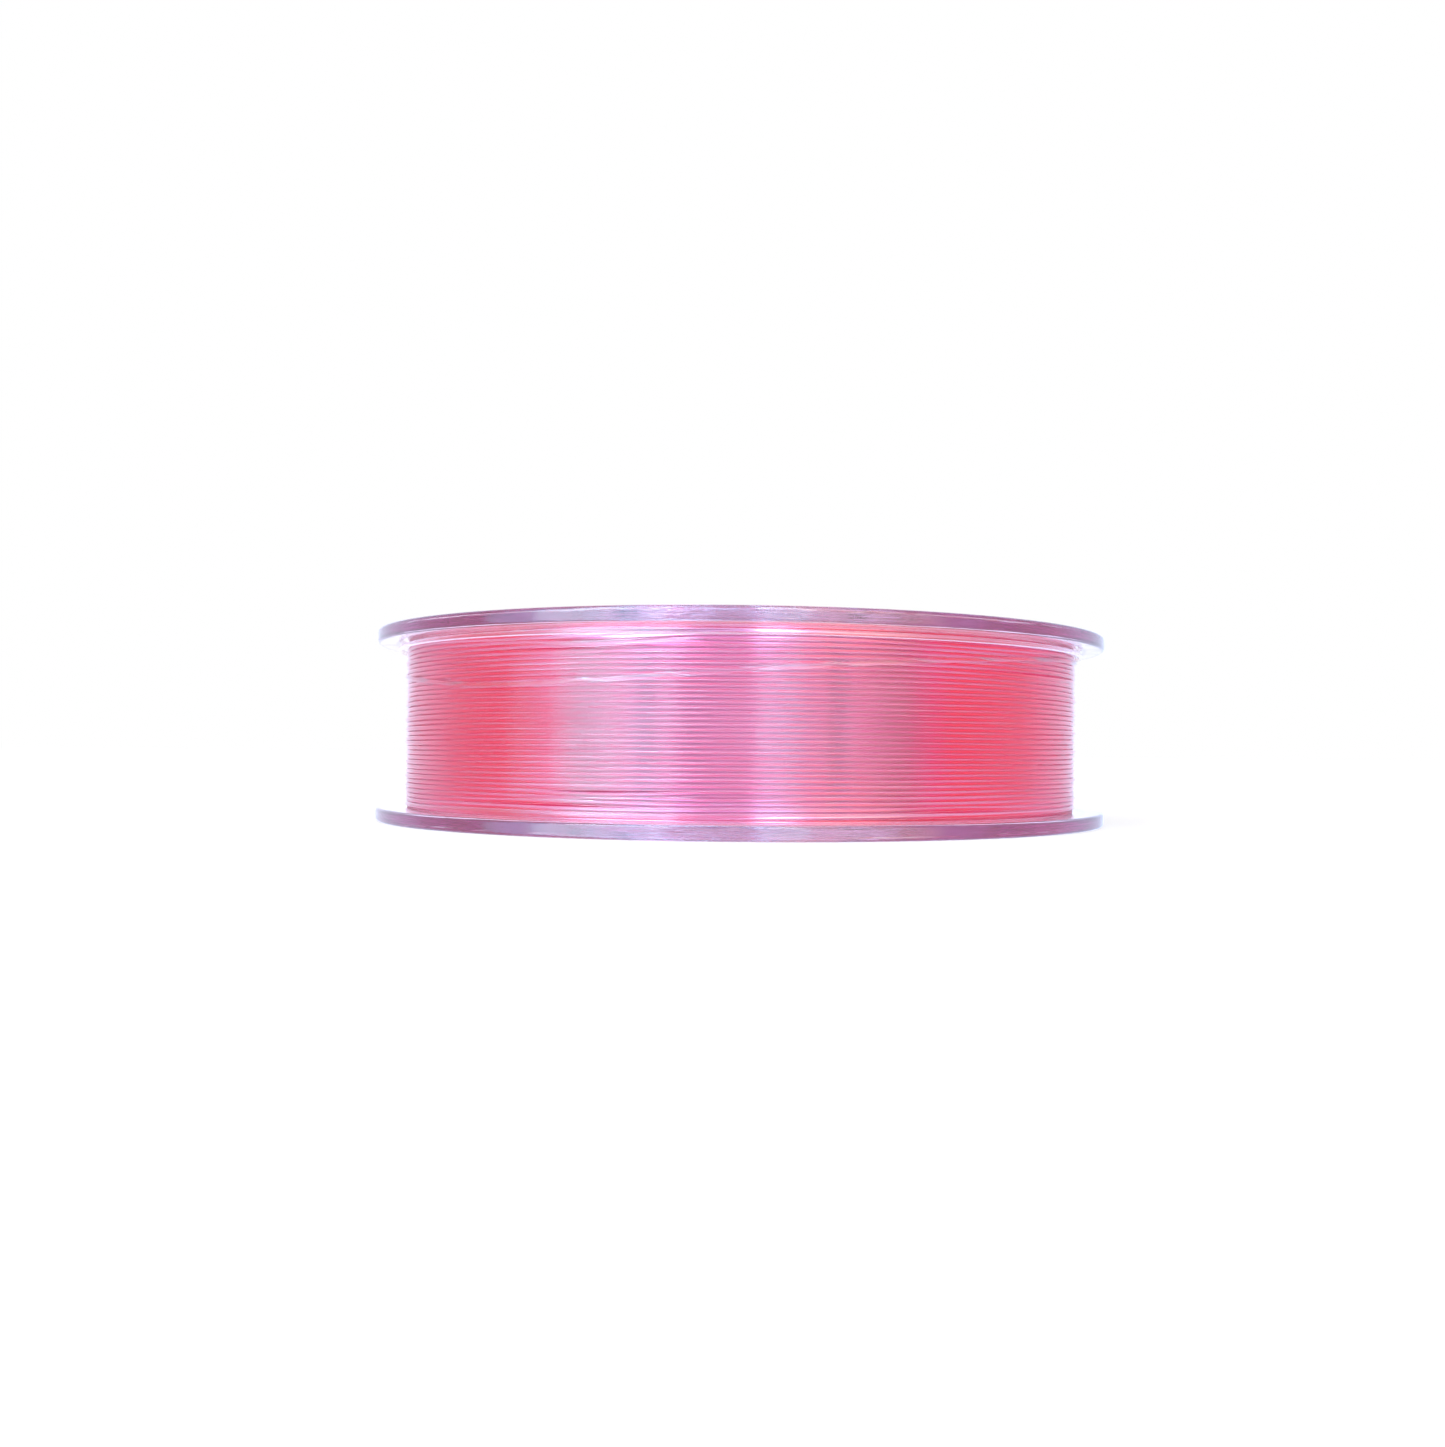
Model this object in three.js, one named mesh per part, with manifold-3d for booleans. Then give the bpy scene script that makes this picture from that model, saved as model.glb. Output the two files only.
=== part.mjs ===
// A flat clear plastic leader spool, full of pink monofilament line.
// Millimetres, +Z along the spool's axis. The spool stands on its lower flange, whose outer face is at z = 0,
// with the axis at x = y = 0.
import * as THREE from 'three';
import { mergeVertices } from 'three/addons/utils/BufferGeometryUtils.js';
import Module from 'manifold-3d';

// ---------------------------------------------------------------- driving dimensions
// Flanges
const FLANGE_RADIUS = 35.0; // the spool is 70 mm across
const FLANGE_THICKNESS = 1.25; // at the rim
const SPOOL_HEIGHT = 17.6; // over both flanges
const RIM_WIDTH = 1.8; // raised ring round the edge of the outer face
const RIM_EDGE_RADIUS = 0.35; // rounded edge of the rim
const HUB_RING_RADIUS = 19.6; // raised ring over the drum, on the outer face
const RECESS_DEPTH = 0.25; // sunk face between the two raised rings
const FLANGE_HOLE_RADIUS = 16.2; // the flange is open over the drum
const SEAT_DEPTH = 0.5; // rebate in the inner face that takes the end of the drum

// Drum that the line is wound on, with its spokes and bore tube in one moulding
const DRUM_RADIUS = 18.0;
const DRUM_WALL = 1.2;
const BORE_RADIUS = 5.8;
const BORE_WALL = 1.1;
const SPOKE_COUNT = 6;
const SPOKE_THICKNESS = 1.2;
const SPOKE_START = -Math.PI / 3; // the front lies midway between two spokes

// Line
const LINE_DIAMETER = 0.43;
const WINDING_RADIUS = 32.3; // outside of the full winding
const MOST_SHOWN_TURNS = 24;
const SHOWN_TURN_GAP = 0.45; // clear space between two turns of the outer layer as it is drawn
const TURN_LIFT = 0.05; // between the outer layer and the layers under it
const LINE_BEND_RADIUS = 0.6; // where the line turns up or down at its two ends

// Tape that holds the start of the line on the drum
const TAPE_LENGTH = 10.0;
const TAPE_WIDTH = 9.0;
const TAPE_THICKNESS = 0.12;
const TAPE_AZIMUTH = Math.PI / 2;

// Notch in each flange, where the tail of the line leaves
const NOTCH_AZIMUTH = THREE.MathUtils.degToRad(118);

// Clearances
const SEAT_CLEARANCE = 0.15; // round the drum in its seat
const WELD_GAP = 0.02; // between the ends of the drum and the flanges
const SIDE_CLEARANCE = 0.05; // between the line and the flanges
const TAPE_CLEARANCE = 0.04; // under and over the tape
const END_CLEARANCE = 0.3; // from the line's ends and its tail to the flanges

// Faceting
const ROUND_SEGMENTS = 96;
const BORE_SEGMENTS = 48;
const EDGE_STEPS = 3;
const TURN_STEPS = 24;
const LINE_SIDES = 6;
const BEND_STEPS = 4;
const OVERCUT = 1.0; // how far a cutting tool runs past what it cuts

// ---------------------------------------------------------------- heights and radii that follow
const lowerInnerFace = FLANGE_THICKNESS;
const upperInnerFace = SPOOL_HEIGHT - FLANGE_THICKNESS;
const drumBottom = FLANGE_THICKNESS - SEAT_DEPTH + WELD_GAP;
const drumTop = SPOOL_HEIGHT - drumBottom;
const seatRadius = DRUM_RADIUS + SEAT_CLEARANCE;
const tapeInnerRadius = DRUM_RADIUS + TAPE_CLEARANCE;
const tapeOuterRadius = tapeInnerRadius + TAPE_THICKNESS;
const coreInnerRadius = tapeOuterRadius + TAPE_CLEARANCE;
const lineRadius = LINE_DIAMETER / 2;
const turnRadius = WINDING_RADIUS - lineRadius;
// The middle of a straight step between two points of a turn lies nearer the axis than the points do.
const coreOuterRadius = turnRadius * Math.cos(Math.PI / TURN_STEPS) - lineRadius - TURN_LIFT;
const notchInnerRadius = turnRadius - lineRadius - END_CLEARANCE;
const notchWidth = LINE_DIAMETER + 2 * END_CLEARANCE;

// ---------------------------------------------------------------- materials
const clearPlastic = new THREE.MeshStandardMaterial({ color: 0xd9c3e3, roughness: 0.08, metalness: 0 });
clearPlastic.transparent = true;
clearPlastic.opacity = 0.45;
const pinkLine = new THREE.MeshStandardMaterial({ color: 0xe58fb8, roughness: 0.2, metalness: 0 });
const tapeFilm = new THREE.MeshStandardMaterial({ color: 0xf2eedc, roughness: 0.4, metalness: 0 });

// ---------------------------------------------------------------- solids and cuts
const wasm = await Module();
wasm.setup();

/** A manifold solid of a closed three.js geometry. */
function solidOf(geometry) {
  const bare = geometry.clone();
  bare.deleteAttribute('normal');
  bare.deleteAttribute('uv');
  const merged = mergeVertices(bare, 1e-5);
  const mesh = new wasm.Mesh({
    numProp: 3,
    vertProperties: new Float32Array(merged.attributes.position.array),
    triVerts: new Uint32Array(merged.index.array),
  });
  return new wasm.Manifold(mesh);
}

/** The three.js geometry of a manifold solid. */
function geometryOf(solid) {
  const mesh = solid.getMesh();
  const geometry = new THREE.BufferGeometry();
  geometry.setAttribute('position', new THREE.BufferAttribute(mesh.vertProperties, 3));
  geometry.setIndex(new THREE.BufferAttribute(mesh.triVerts, 1));
  return geometry;
}

/** A ring about the Z axis, from a closed profile of [radius, height] points that runs counter-clockwise. */
function ring(profile, segments) {
  const closed = [...profile, profile[0]].map(([radius, height]) => new THREE.Vector2(radius, height));
  return new THREE.LatheGeometry(closed, segments).rotateX(Math.PI / 2);
}

/** A plain tube about the Z axis. */
function tube(innerRadius, outerRadius, bottom, top, segments) {
  const profile = [
    [innerRadius, bottom],
    [outerRadius, bottom],
    [outerRadius, top],
    [innerRadius, top],
  ];
  return ring(profile, segments);
}

/** Points of a quarter round in a profile, from one angle to another. */
function quarterRound(centreRadius, centreHeight, roundRadius, fromAngle) {
  const points = [];
  for (let step = 0; step <= EDGE_STEPS; step += 1) {
    const angle = fromAngle + (step / EDGE_STEPS) * (Math.PI / 2);
    const radius = centreRadius + roundRadius * Math.cos(angle);
    points.push([radius, centreHeight + roundRadius * Math.sin(angle)]);
  }
  return points;
}

/** A mesh with its name. */
function piece(name, geometry, material) {
  const mesh = new THREE.Mesh(geometry, material);
  mesh.name = name;
  return mesh;
}

// ---------------------------------------------------------------- flanges
/** The slot with a round inner end that the tail of the line passes through. */
function notchCutter() {
  const reach = FLANGE_RADIUS + OVERCUT;
  const endRadius = notchWidth / 2;
  const outline = new THREE.Shape();
  outline.moveTo(reach, -endRadius);
  outline.lineTo(reach, endRadius);
  outline.lineTo(notchInnerRadius + endRadius, endRadius);
  outline.absarc(notchInnerRadius + endRadius, 0, endRadius, Math.PI / 2, 1.5 * Math.PI, false);
  const depth = FLANGE_THICKNESS + 2 * OVERCUT;
  const geometry = new THREE.ExtrudeGeometry(outline, { depth, bevelEnabled: false, curveSegments: 4 });
  return geometry.translate(0, 0, -OVERCUT).rotateZ(NOTCH_AZIMUTH);
}

/** A flange with its outer face down at z = 0. */
function flangeGeometry() {
  const edgeCentre = FLANGE_RADIUS - RIM_EDGE_RADIUS;
  const recessOuterRadius = FLANGE_RADIUS - RIM_WIDTH;
  const seatFloor = FLANGE_THICKNESS - SEAT_DEPTH;
  const profile = [
    [FLANGE_HOLE_RADIUS, 0],
    [HUB_RING_RADIUS, 0],
    [HUB_RING_RADIUS, RECESS_DEPTH],
    [recessOuterRadius, RECESS_DEPTH],
    [recessOuterRadius, 0],
    ...quarterRound(edgeCentre, RIM_EDGE_RADIUS, RIM_EDGE_RADIUS, -Math.PI / 2),
    ...quarterRound(edgeCentre, FLANGE_THICKNESS - RIM_EDGE_RADIUS, RIM_EDGE_RADIUS, 0),
    [seatRadius, FLANGE_THICKNESS],
    [seatRadius, seatFloor],
    [FLANGE_HOLE_RADIUS, seatFloor],
  ];
  const disc = solidOf(ring(profile, ROUND_SEGMENTS));
  return geometryOf(disc.subtract(solidOf(notchCutter())));
}

function lowerFlange() {
  return piece('lower_flange', flangeGeometry(), clearPlastic);
}

/** The same moulding turned over. It is turned about the line through the notch, so that both notches line up. */
function upperFlange() {
  const geometry = flangeGeometry();
  geometry.rotateZ(-NOTCH_AZIMUTH).rotateX(Math.PI).rotateZ(NOTCH_AZIMUTH);
  geometry.translate(0, 0, SPOOL_HEIGHT);
  return piece('upper_flange', geometry, clearPlastic);
}

// ---------------------------------------------------------------- drum
/** Drum wall, spokes and bore tube, all of one height. */
function hubDrum() {
  const height = drumTop - drumBottom;
  const boreOuterRadius = BORE_RADIUS + BORE_WALL;
  const drumInnerRadius = DRUM_RADIUS - DRUM_WALL;
  let drum = solidOf(tube(drumInnerRadius, DRUM_RADIUS, drumBottom, drumTop, ROUND_SEGMENTS));
  drum = drum.add(solidOf(tube(BORE_RADIUS, boreOuterRadius, drumBottom, drumTop, BORE_SEGMENTS)));
  const innerEnd = BORE_RADIUS + BORE_WALL / 2;
  const outerEnd = drumInnerRadius + DRUM_WALL / 2;
  for (let spoke = 0; spoke < SPOKE_COUNT; spoke += 1) {
    const bar = new THREE.BoxGeometry(outerEnd - innerEnd, SPOKE_THICKNESS, height);
    bar.translate((innerEnd + outerEnd) / 2, 0, drumBottom + height / 2);
    bar.rotateZ(SPOKE_START + (spoke / SPOKE_COUNT) * 2 * Math.PI);
    drum = drum.add(solidOf(bar));
  }
  return piece('hub_drum', geometryOf(drum), clearPlastic);
}

// ---------------------------------------------------------------- tape under the line
/** A strip of thin film, bent round the drum on the same facets as the drum. */
function startTape() {
  const facet = (2 * Math.PI) / ROUND_SEGMENTS;
  const facets = Math.max(1, Math.round(TAPE_LENGTH / (DRUM_RADIUS * facet)));
  const firstFacet = Math.round(TAPE_AZIMUTH / facet - facets / 2);
  const outline = new THREE.Shape();
  const at = (radius, step) => {
    const angle = (firstFacet + step) * facet;
    return [radius * Math.cos(angle), radius * Math.sin(angle)];
  };
  outline.moveTo(...at(tapeInnerRadius, 0));
  for (let step = 0; step <= facets; step += 1) {
    outline.lineTo(...at(tapeOuterRadius, step));
  }
  for (let step = facets; step > 0; step -= 1) {
    outline.lineTo(...at(tapeInnerRadius, step));
  }
  const geometry = new THREE.ExtrudeGeometry(outline, { depth: TAPE_WIDTH, bevelEnabled: false });
  geometry.translate(0, 0, (SPOOL_HEIGHT - TAPE_WIDTH) / 2);
  return piece('start_tape', geometry, tapeFilm);
}

// ---------------------------------------------------------------- line
/** All the layers under the outer one, as one plain ring. */
function innerLayers() {
  const bottom = lowerInnerFace + SIDE_CLEARANCE;
  const top = upperInnerFace - SIDE_CLEARANCE;
  const geometry = tube(coreInnerRadius, coreOuterRadius, bottom, top, ROUND_SEGMENTS);
  return piece('line_inner_layers', geometry, pinkLine);
}

/**
 * The path of the outer layer: up from the lower flange, round the spool in even turns, and up through the notch
 * in the upper flange. Every second turn or so is left out, so that the drawn turns stay clear of each other.
 */
function outerLayerPath() {
  const startBottom = lowerInnerFace + END_CLEARANCE;
  const firstHeight = startBottom + LINE_DIAMETER + LINE_BEND_RADIUS;
  const lastHeight = upperInnerFace - END_CLEARANCE - lineRadius;
  const tailTop = SPOOL_HEIGHT - RECESS_DEPTH;
  const rise = lastHeight - firstHeight;
  const wholeTurns = Math.floor(rise / (LINE_DIAMETER + SHOWN_TURN_GAP));
  const turns = Math.min(MOST_SHOWN_TURNS, wholeTurns);
  const bendAngle = LINE_BEND_RADIUS / turnRadius;
  const endAzimuth = NOTCH_AZIMUTH - bendAngle;
  const startAzimuth = NOTCH_AZIMUTH + bendAngle;
  const swept = turns * 2 * Math.PI + endAzimuth - startAzimuth;
  const steps = Math.round((swept / (2 * Math.PI)) * TURN_STEPS);
  const at = (azimuth, height) =>
    new THREE.Vector3(turnRadius * Math.cos(azimuth), turnRadius * Math.sin(azimuth), height);
  const points = [at(NOTCH_AZIMUTH, startBottom)];
  // The line leaves the lower flange straight up, then bends over into the first turn.
  for (let step = 0; step < BEND_STEPS; step += 1) {
    const angle = (step / BEND_STEPS) * (Math.PI / 2);
    const along = bendAngle * (1 - Math.cos(angle));
    points.push(at(NOTCH_AZIMUTH + along, startBottom + LINE_DIAMETER + LINE_BEND_RADIUS * Math.sin(angle)));
  }
  for (let step = 0; step <= steps; step += 1) {
    const share = step / steps;
    points.push(at(startAzimuth + share * swept, firstHeight + share * rise));
  }
  // The last turn bends up and runs straight through the notch.
  for (let step = 1; step <= BEND_STEPS; step += 1) {
    const angle = (step / BEND_STEPS) * (Math.PI / 2);
    const along = bendAngle * Math.sin(angle);
    points.push(at(endAzimuth + along, lastHeight + LINE_BEND_RADIUS * (1 - Math.cos(angle))));
  }
  points.push(at(NOTCH_AZIMUTH, tailTop));
  return { points, turns };
}

/** One closed tube along a list of points, with flat ends square to the first and last steps. */
function lineTube(points) {
  const positions = [];
  const faces = [];
  const last = points.length - 1;
  points.forEach((point, index) => {
    const before = points[Math.max(0, index - 1)];
    const after = points[Math.min(last, index + 1)];
    const tangent = after.clone().sub(before).normalize();
    const outward = new THREE.Vector3(point.x, point.y, 0).normalize();
    const side = outward.clone().cross(tangent).normalize();
    const lift = tangent.clone().cross(side);
    for (let corner = 0; corner < LINE_SIDES; corner += 1) {
      const angle = (corner / LINE_SIDES) * 2 * Math.PI;
      const vertex = point.clone();
      vertex.addScaledVector(lift, lineRadius * Math.cos(angle));
      vertex.addScaledVector(side, lineRadius * Math.sin(angle));
      positions.push(vertex.x, vertex.y, vertex.z);
    }
  });
  for (let index = 0; index < last; index += 1) {
    for (let corner = 0; corner < LINE_SIDES; corner += 1) {
      const next = (corner + 1) % LINE_SIDES;
      const a = index * LINE_SIDES + corner;
      const b = index * LINE_SIDES + next;
      faces.push(a, a + LINE_SIDES, b);
      faces.push(b, a + LINE_SIDES, b + LINE_SIDES);
    }
  }
  const endStart = last * LINE_SIDES;
  for (let corner = 1; corner < LINE_SIDES - 1; corner += 1) {
    faces.push(0, corner, corner + 1);
    faces.push(endStart, endStart + corner + 1, endStart + corner);
  }
  const geometry = new THREE.BufferGeometry();
  geometry.setAttribute('position', new THREE.Float32BufferAttribute(positions, 3));
  geometry.setIndex(faces);
  return geometry;
}

/** The least clear space between two stretches of the line that aren't next to each other along it. */
function leastGap(points) {
  const along = [0];
  for (let index = 1; index < points.length; index += 1) {
    along.push(along[index - 1] + points[index].distanceTo(points[index - 1]));
  }
  const halfTurn = Math.PI * turnRadius;
  let least = Infinity;
  for (let first = 0; first < points.length - 1; first += 1) {
    for (let second = first + 1; second < points.length; second += 1) {
      if (along[second] - along[first] > halfTurn) {
        least = Math.min(least, distanceToStep(points[second], points[first], points[first + 1]));
      }
    }
  }
  return least - LINE_DIAMETER;
}

/** Distance from a point to a straight step between two others. */
function distanceToStep(point, start, end) {
  const closest = new THREE.Vector3();
  new THREE.Line3(start, end).closestPointToPoint(point, true, closest);
  return closest.distanceTo(point);
}

function outerLayer() {
  const { points, turns } = outerLayerPath();
  console.log(`outer layer: ${turns} turns, least gap to itself ${leastGap(points).toFixed(3)} mm`);
  return piece('line_outer_layer', lineTube(points), pinkLine);
}

// ---------------------------------------------------------------- the spool
const spool = new THREE.Group();
spool.add(lowerFlange());
spool.add(upperFlange());
spool.add(hubDrum());
spool.add(startTape());
spool.add(innerLayers());
spool.add(outerLayer());

export default spool;
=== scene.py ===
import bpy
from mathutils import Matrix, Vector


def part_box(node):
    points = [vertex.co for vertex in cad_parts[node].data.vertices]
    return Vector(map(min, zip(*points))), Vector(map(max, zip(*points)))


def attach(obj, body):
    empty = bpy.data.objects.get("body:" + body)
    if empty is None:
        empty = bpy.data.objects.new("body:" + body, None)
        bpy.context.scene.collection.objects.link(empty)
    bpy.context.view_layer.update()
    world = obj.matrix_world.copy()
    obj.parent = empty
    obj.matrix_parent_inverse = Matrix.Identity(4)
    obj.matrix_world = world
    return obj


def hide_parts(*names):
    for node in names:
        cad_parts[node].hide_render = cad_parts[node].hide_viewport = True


bl_info = {
    "name": "Fishing line spool",
    "version": (1, 0, 0),
    "blender": (4, 5, 0),
    "location": "View3D > Sidebar > Line spool",
    "description": "A clear spool full of pink see-through line, built around its packed frame",
    "category": "Add Mesh",
}

import math
import random

import bmesh
import bpy
from bpy.props import FloatProperty, FloatVectorProperty, IntProperty, PointerProperty
from mathutils import Matrix, Vector

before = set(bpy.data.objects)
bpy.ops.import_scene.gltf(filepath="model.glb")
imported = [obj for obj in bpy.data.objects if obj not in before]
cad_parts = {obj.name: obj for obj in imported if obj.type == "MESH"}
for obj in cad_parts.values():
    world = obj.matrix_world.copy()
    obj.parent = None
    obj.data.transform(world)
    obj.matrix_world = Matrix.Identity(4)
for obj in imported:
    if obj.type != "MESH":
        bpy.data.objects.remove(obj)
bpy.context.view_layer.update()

MM = 0.001
FULL_TURN = 2 * math.pi
HAIR = 0.02 * MM  # gap that keeps two touching surfaces apart
MERGE = 0.001 * MM  # points nearer than this are one point
FRONT = -math.pi / 2  # azimuth of the photographed side
NOTCH_AZIMUTH = math.radians(118)
SMOOTH_ANGLE = math.radians(35)  # flatter edges than this are shaded smooth
CORNER_ANGLE = math.radians(50)  # sharper edges than this are rounded

# Sizes that the frame already holds
FLANGE_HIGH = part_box("lower_flange")[1]
DRUM_LOW, DRUM_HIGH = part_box("hub_drum")
SPOOL_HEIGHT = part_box("upper_flange")[1].z
LINE_BOTTOM, LINE_TOP = (corner.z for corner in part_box("line_inner_layers"))

# The photograph's frame, in pixels, and where its camera stood
PHOTO_WIDTH = 1445
PHOTO_HEIGHT = 1447
FOCAL_PIXELS = 1368.92
OPTICAL_CENTRE = (769.79, 721.36)
SENSOR_WIDTH = 36.0
NEAREST_SEEN = 5 * MM
CAMERA_DISTANCE = 136.24 * MM
CAMERA_HEIGHT = 6.86 * MM
CAMERA_YAW = 0.02016
CAMERA_PITCH = 0.02073
CAMERA_ROLL = -0.01009


# ------------------------------------------------------------------ sizes and colours
def linear(hex_colour):
    """An sRGB hex colour as the linear values that Blender's shaders take."""
    channels = [int(hex_colour[i : i + 2], 16) / 255 for i in (1, 3, 5)]
    return tuple(c / 12.92 if c <= 0.04045 else ((c + 0.055) / 1.055) ** 2.4 for c in channels)


def length(name, description, default):
    """A size that a user would change, in metres."""
    return FloatProperty(
        name=name,
        description=description,
        default=default,
        min=0.0,
        subtype="DISTANCE",
        unit="LENGTH",
    )


def colour(name, description, hex_colour):
    """A colour that a user would change."""
    return FloatVectorProperty(
        name=name,
        description=description,
        default=linear(hex_colour),
        min=0.0,
        max=1.0,
        subtype="COLOR",
    )


class SpoolPlasticSizes(bpy.types.PropertyGroup):
    """Sizes of the moulded flanges and of the drum between them."""

    flange_radius: length("Flange radius", "Outside radius of both flanges", FLANGE_HIGH.x)
    flange_thickness: length("Flange thickness", "At the rim", FLANGE_HIGH.z)
    rim_width: length("Rim width", "Raised ring round the edge of the outer face", 1.8 * MM)
    rim_rounding: length("Rim rounding", "Radius of the rim's edges", 0.3 * MM)
    hub_ring_radius: length("Hub ring radius", "Raised ring over the drum", 19.6 * MM)
    recess_depth: length("Recess depth", "Depth of the sunk face between the two rings", 0.25 * MM)
    hole_radius: length("Hole radius", "Opening of the flange over the drum", 16.2 * MM)
    seat_radius: length("Seat radius", "Rebate that takes the end of the drum", 18.15 * MM)
    seat_depth: length("Seat depth", "Depth of that rebate", 0.5 * MM)
    small_rounding: length("Small rounding", "Radius of the other moulded edges", 0.1 * MM)
    drum_radius: length("Drum radius", "Outside of the drum that the line is wound on", DRUM_HIGH.x)
    drum_wall: length("Drum wall", "Thickness of the drum's wall", 1.2 * MM)
    bore_radius: length("Bore radius", "Inside of the bore tube", 5.8 * MM)
    bore_wall: length("Bore wall", "Thickness of the bore tube", 1.1 * MM)
    spoke_thickness: length("Spoke thickness", "Thickness of each spoke", 1.2 * MM)
    spoke_fillet: length("Spoke fillet", "Rounding in the corners of the pockets", 0.8 * MM)
    spoke_count: IntProperty(
        name="Spokes", description="Spokes in the drum", default=6, min=3, max=12
    )
    notch_width: length("Notch width", "Slot that the tail of the line passes through", 1.03 * MM)
    notch_inner_radius: length("Notch depth", "Radius at which the slot ends", 31.57 * MM)


class SpoolLineSizes(bpy.types.PropertyGroup):
    """Sizes of the line and of the way it lies."""

    line_diameter: length("Line diameter", "Thickness of the line", 0.43 * MM)
    winding_radius: length("Winding radius", "Outside of the full winding", 32.3 * MM)
    layers_radius: length("Layers radius", "Outside of the layers under the turns", 32.12 * MM)
    layers_gap: length(
        "Layers gap", "From the end turns' outside to the ends of the layers", 0.02 * MM
    )
    drum_gap: length(
        "Drum gap", "Between the drum and the first layer, where the tape lies", 0.2 * MM
    )
    turns: IntProperty(
        name="Turns", description="Turns in the outer layer", default=34, min=8, max=40
    )
    bend_radius: length("Tail bend", "Radius at which the tail turns up into the notch", 0.6 * MM)
    waviness: length("Waviness", "How far the turns wander up and down", 0.03 * MM)
    lumpiness: length("Lumpiness", "How far the turns stand out at most", 0.12 * MM)
    tape_length: length("Tape length", "Along the drum", 10.0 * MM)
    tape_width: length("Tape width", "Across the drum", 9.0 * MM)
    tape_thickness: length("Tape thickness", "Thickness of the film", 0.12 * MM)


class SpoolColours(bpy.types.PropertyGroup):
    """Colours that a user would change."""

    plastic_tint: colour("Plastic tint", "What light keeps deep in the flanges", "#DE9CC6")
    plastic_skin: colour("Plastic skin", "What light keeps as it crosses a thin flange", "#F2E4EE")
    drum_tint: colour("Drum tint", "What light keeps deep in the drum", "#CCCEF2")
    line_tint: colour("Line tint", "What light keeps deep in the line", "#FF00B6")
    end_tint: colour(
        "End tint", "What light keeps as it leaves by the ends of the winding", "#FFC6DA"
    )
    tape: colour("Tape", "Adhesive film under the line", "#F2EEDC")
    floor: colour("Floor", "Pale table that the spool lies on", "#EDEDED")


# ------------------------------------------------------------------ helpers for meshes
def add_piece(name, mesh, material, replaced):
    """Puts a finished mesh in the scene as a piece that stands for one CAD node."""
    mesh.name = name
    mesh.materials.clear()
    mesh.materials.append(material)
    mesh.polygons.foreach_set("use_smooth", [True] * len(mesh.polygons))
    mesh.set_sharp_from_angle(angle=SMOOTH_ANGLE)
    piece = bpy.data.objects.new(name, mesh)
    bpy.context.scene.collection.objects.link(piece)
    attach(piece, "root")
    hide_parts(replaced)
    return piece


def mesh_of(bm):
    """The mesh of a finished bmesh."""
    mesh = bpy.data.meshes.new("shape")
    bm.to_mesh(mesh)
    bm.free()
    return mesh


def applied(shape):
    """The mesh of an object with its modifiers or curve thickness applied. Removes the object."""
    bpy.context.view_layer.update()
    depsgraph = bpy.context.evaluated_depsgraph_get()
    mesh = bpy.data.meshes.new_from_object(shape.evaluated_get(depsgraph), depsgraph=depsgraph)
    bpy.data.objects.remove(shape)
    return mesh


def tidy(bm, reach=MERGE):
    """Merges doubles and turns all faces outwards."""
    bmesh.ops.remove_doubles(bm, verts=bm.verts, dist=reach)
    bmesh.ops.recalc_face_normals(bm, faces=bm.faces)


def spun(profile, steps):
    """A ring about the spool's axis, from a closed profile of (radius, height) points."""
    bm = bmesh.new()
    verts = [bm.verts.new((radius, 0, height)) for radius, height in profile]
    edges = [bm.edges.new((verts[i - 1], verts[i])) for i in range(len(verts))]
    bmesh.ops.spin(
        bm,
        geom=verts + edges,
        cent=(0, 0, 0),
        axis=(0, 0, 1),
        angle=FULL_TURN,
        steps=steps,
        use_merge=True,
    )
    tidy(bm)
    return bm


def round_edges(bm, edges, radius, segments):
    """Rounds edges as a mould does."""
    bmesh.ops.bevel(
        bm, geom=edges, offset=radius, segments=segments, profile=0.5, affect="EDGES", material=-1
    )


def sharp_edges(bm):
    """The edges between two faces that meet at a corner."""
    return [e for e in bm.edges if len(e.link_faces) == 2 and e.calc_face_angle() > CORNER_ANGLE]


def end_radii(edge):
    """How far an edge's two ends lie from the spool's axis."""
    return [math.hypot(v.co.x, v.co.y) for v in edge.verts]


def strands(name, paths, radius, sides, closed=False):
    """The mesh of round strands along lists of points, each closed on itself or with end caps."""
    curve = bpy.data.curves.new(name, "CURVE")
    curve.dimensions = "3D"
    curve.bevel_depth = radius
    curve.bevel_resolution = (sides - 4) // 2
    curve.use_fill_caps = True
    for points in paths:
        spline = curve.splines.new("POLY")
        spline.points.add(len(points) - 1)
        spline.points.foreach_set("co", [c for x, y, z in points for c in (x, y, z, 1)])
        spline.use_cyclic_u = closed
    shape = bpy.data.objects.new(name, curve)
    bpy.context.scene.collection.objects.link(shape)
    bm = bmesh.new()
    bm.from_mesh(applied(shape))
    tidy(bm, MERGE / 100)  # joins the end caps, and never two turns that nearly touch
    return mesh_of(bm)


# ------------------------------------------------------------------ helpers for materials
# How fast the tints gather, per metre of material
FLANGE_DENSITY = 62.0
DRUM_DENSITY = 35.0
LINE_DENSITY = 85.0

# How much the materials bend light
POLYSTYRENE_IOR = 1.58
STRAND_IOR = 1.42
LAYERS_IOR = 1.12
FILM_IOR = 1.47

# Roughness, from each surface's smoothest spots to its roughest
POLISHED = (0.015, 0.08)
FROSTED = (0.25, 0.35)
STRAND_SKIN = (0.07, 0.12)
END_SKIN = (0.05, 0.10)
LAYERS_SKIN = (0.3, 0.35)

# Real sizes of the marks on them
MOULD_MARK = (7 * MM, 7 * MM, 0.14 * MM)  # long and low, round the rim
SCUFF = 0.3 * MM
SKIN_MARK = 0.6 * MM
GLUE_GRAIN = 0.5 * MM
TABLE_GRAIN = 1.5 * MM
RELIEF = 0.02 * MM  # how high the marks stand

UNTINTED = (1, 1, 1)
CLOUDY_CLEARNESS = 0.15  # share of the light that a cut wall lets through
GRAIN_SHADE = 0.9  # the film's colour in its darkest grain


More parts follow.
